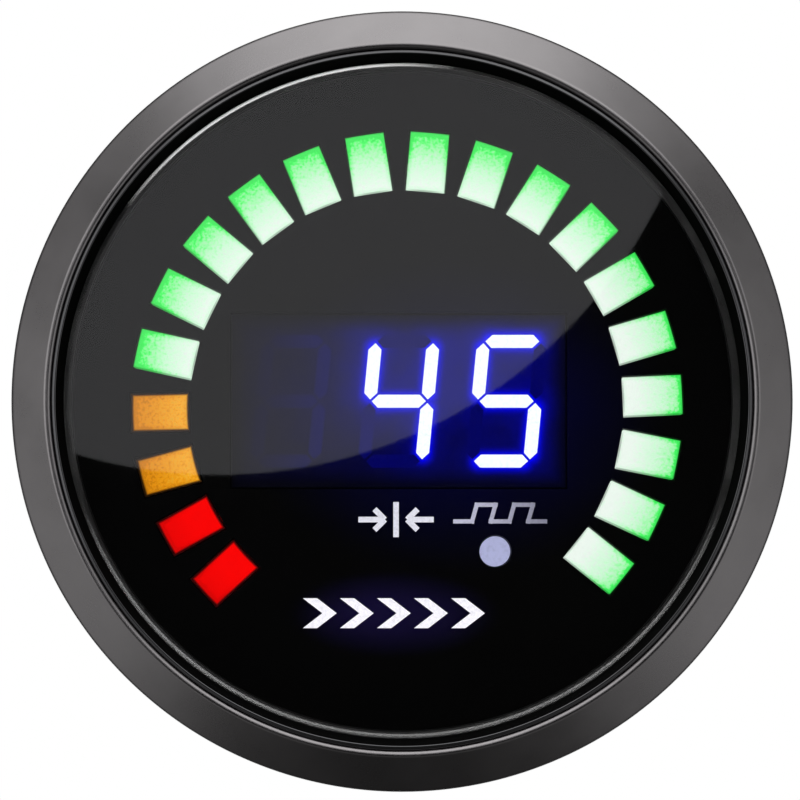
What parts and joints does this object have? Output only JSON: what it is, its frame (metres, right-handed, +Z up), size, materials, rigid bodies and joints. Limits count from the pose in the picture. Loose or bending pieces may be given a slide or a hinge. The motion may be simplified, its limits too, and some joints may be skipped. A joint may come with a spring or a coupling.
{
  "type": "boost gauge",
  "caption": "Round digital boost gauge with a metal bezel, a ring of light bars and a numeric display, held in a panel by a clamp bracket and thumb nuts.",
  "frame": {"origin": "on the gauge's axis, in the plane where the back of the bezel seats on the panel", "axes": "-Y is the way the dial faces, +Y points out of the back along the axis and the studs, +Z is up on the dial, +X is to the right for someone who reads the dial"},
  "size_m": [0.06, 0.0588, 0.06],
  "materials": {
    "gunmetal_paint": "satin",
    "gloss_black": "gloss",
    "clear_lens": "polished",
    "seal_rubber": "matte",
    "black_plastic": "matte",
    "face_black": "satin",
    "smoked_filter": "gloss",
    "green_light": "satin",
    "amber_light": "satin",
    "red_light": "satin",
    "indicator_light": "satin",
    "lit_print": "matte",
    "white_print": "matte",
    "grey_print": "matte",
    "display_body": "matte",
    "lit_segment": "satin",
    "unlit_segment": "matte",
    "tinned_pin": "satin",
    "circuit_board": "satin",
    "led_body": "satin",
    "chip_black": "matte",
    "zinc_steel": "satin",
    "blackened_steel": "satin",
    "plain_brass": "satin",
    "metal_can": "satin",
    "capacitor_sleeve": "gloss",
    "tube_silicone": "matte",
    "case_black": "satin",
    "socket_nylon": "satin",
    "bracket_paint": "satin"
  },
  "bodies": {
    "gauge": {"bezel_ring": "gunmetal_paint", "retainer_ring": "gloss_black", "lens": "clear_lens", "lens_gasket": "seal_rubber", "spacer_ring": "black_plastic", "face_plate": "face_black", "display_filter": "smoked_filter", "green_windows": "green_light", "amber_windows": "amber_light", "red_windows": "red_light", "indicator_window": "indicator_light", "boost_marks": "lit_print", "pressure_marks": "white_print", "voltage_marks": "grey_print", "front_frame": "black_plastic", "light_housing": "black_plastic", "digit_display": "display_body", "lit_segments": "lit_segment", "unlit_segments": "unlit_segment", "display_pins": "tinned_pin", "display_board": "circuit_board", "bar_leds": "led_body", "legend_leds": "led_body", "driver_chips": "chip_black", "chip_resistors": "chip_black", "board_screws": "zinc_steel", "board_spacers": "plain_brass", "spacer_nuts": "plain_brass", "pin_header": "black_plastic", "main_board": "circuit_board", "microcontroller": "chip_black", "crystal": "metal_can", "filter_capacitors": "capacitor_sleeve", "voltage_regulator": "chip_black", "pressure_sensor": "chip_black", "sensor_tube": "tube_silicone", "case": "case_black", "rear_cover": "case_black", "cover_screws": "blackened_steel", "pressure_nipple": "plain_brass", "nipple_seal": "seal_rubber", "nipple_nut": "plain_brass", "power_socket": "socket_nylon", "socket_pins": "tinned_pin", "mounting_studs": "zinc_steel", "stud_lock_washers": "zinc_steel", "stud_nuts": "zinc_steel"},
    "bracket": {"clamp_bracket": "bracket_paint", "bracket_washers": "zinc_steel"},
    "left_nut": {"left_thumb_nut": "plain_brass"},
    "right_nut": {"right_thumb_nut": "plain_brass"}
  },
  "joints": [
    {"name": "bracket_slide", "type": "slide", "parent": "gauge", "child": "bracket", "axis": [0, 1, 0], "range_m": [-0.0035, 0.0056]},
    {"name": "left_nut_spin", "type": "hinge", "parent": "bracket", "child": "left_nut", "pos_m": [-0.0155, 0.041, 0], "axis": [0, 1, 0], "range_deg": [-1800, 2880]},
    {"name": "right_nut_spin", "type": "hinge", "parent": "bracket", "child": "right_nut", "pos_m": [0.0155, 0.041, 0], "axis": [0, 1, 0], "range_deg": [-1800, 2880]}
  ],
  "couplings": [
    {"joint": "left_nut_spin", "follows": "bracket_slide", "rad_per_m": 8976},
    {"joint": "right_nut_spin", "follows": "bracket_slide", "rad_per_m": 8976}
  ]
}
